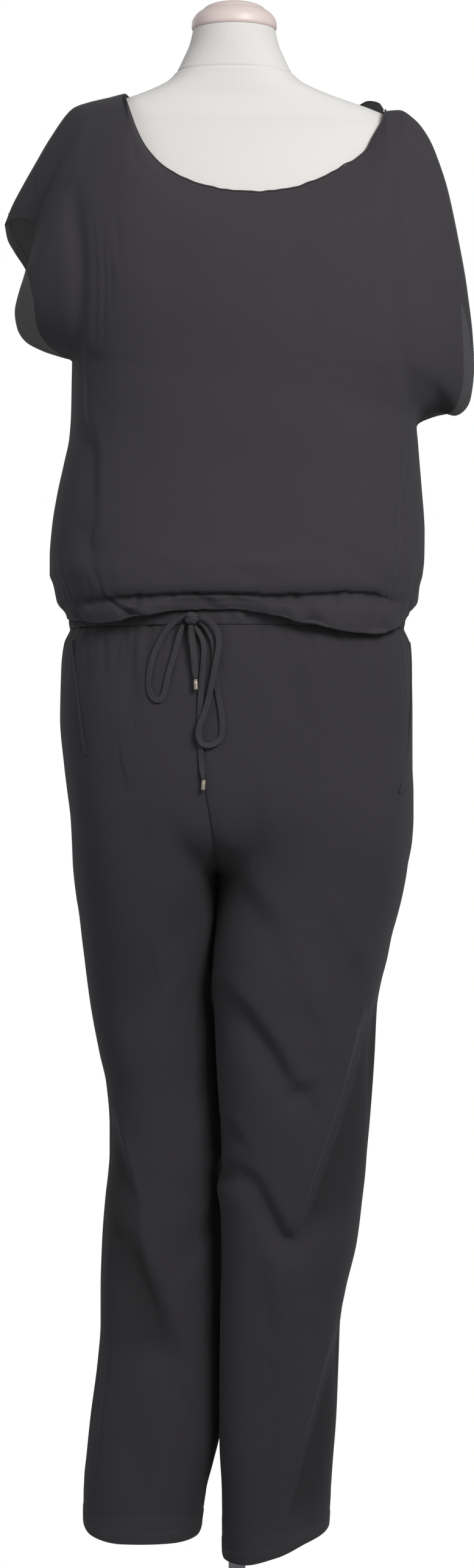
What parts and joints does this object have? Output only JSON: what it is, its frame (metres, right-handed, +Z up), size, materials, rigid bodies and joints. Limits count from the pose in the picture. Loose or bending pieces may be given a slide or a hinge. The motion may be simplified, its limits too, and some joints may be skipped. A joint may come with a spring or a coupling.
{
  "type": "jumpsuit on a dress form",
  "caption": "Loose short-sleeved jumpsuit with a wide scoop neck, bloused waist, drawstring bow and straight legs, worn by a limbless dress form on a pole and base.",
  "frame": {"origin": "centre of the underside of the base plate, on the floor", "axes": "+Z up, +X to the viewer's right as the garment is seen from the front, +Y away from the viewer"},
  "size_m": [0.499, 0.32, 1.7495],
  "materials": {
    "crepe": "soft black crepe with a low sheen",
    "linen": "plain off-white woven cover",
    "cap": "smooth, satin, pale pinkish",
    "steel": "satin grey paint",
    "nickel": "warm nickel plate"
  },
  "bodies": {
    "root": {"bodice_front": "crepe", "bodice_back": "crepe", "waist_casing": "crepe", "trouser_front_left": "crepe", "trouser_front_right": "crepe", "trouser_back_left": "crepe", "trouser_back_right": "crepe", "trouser_front_left_lower": "crepe", "trouser_front_right_lower": "crepe", "trouser_back_left_lower": "crepe", "trouser_back_right_lower": "crepe", "pocket_edge_left": "crepe", "pocket_edge_right": "crepe", "tie_knot": "crepe", "bow_loop_left": "crepe", "bow_loop_right": "crepe", "tie_end_short": "crepe", "tie_end_long": "crepe", "tie_tip_short": "nickel", "tie_tip_long": "nickel", "form_torso": "linen", "form_neck_cap": "cap", "form_pole": "steel", "form_base": "steel"}
  },
  "joints": []
}
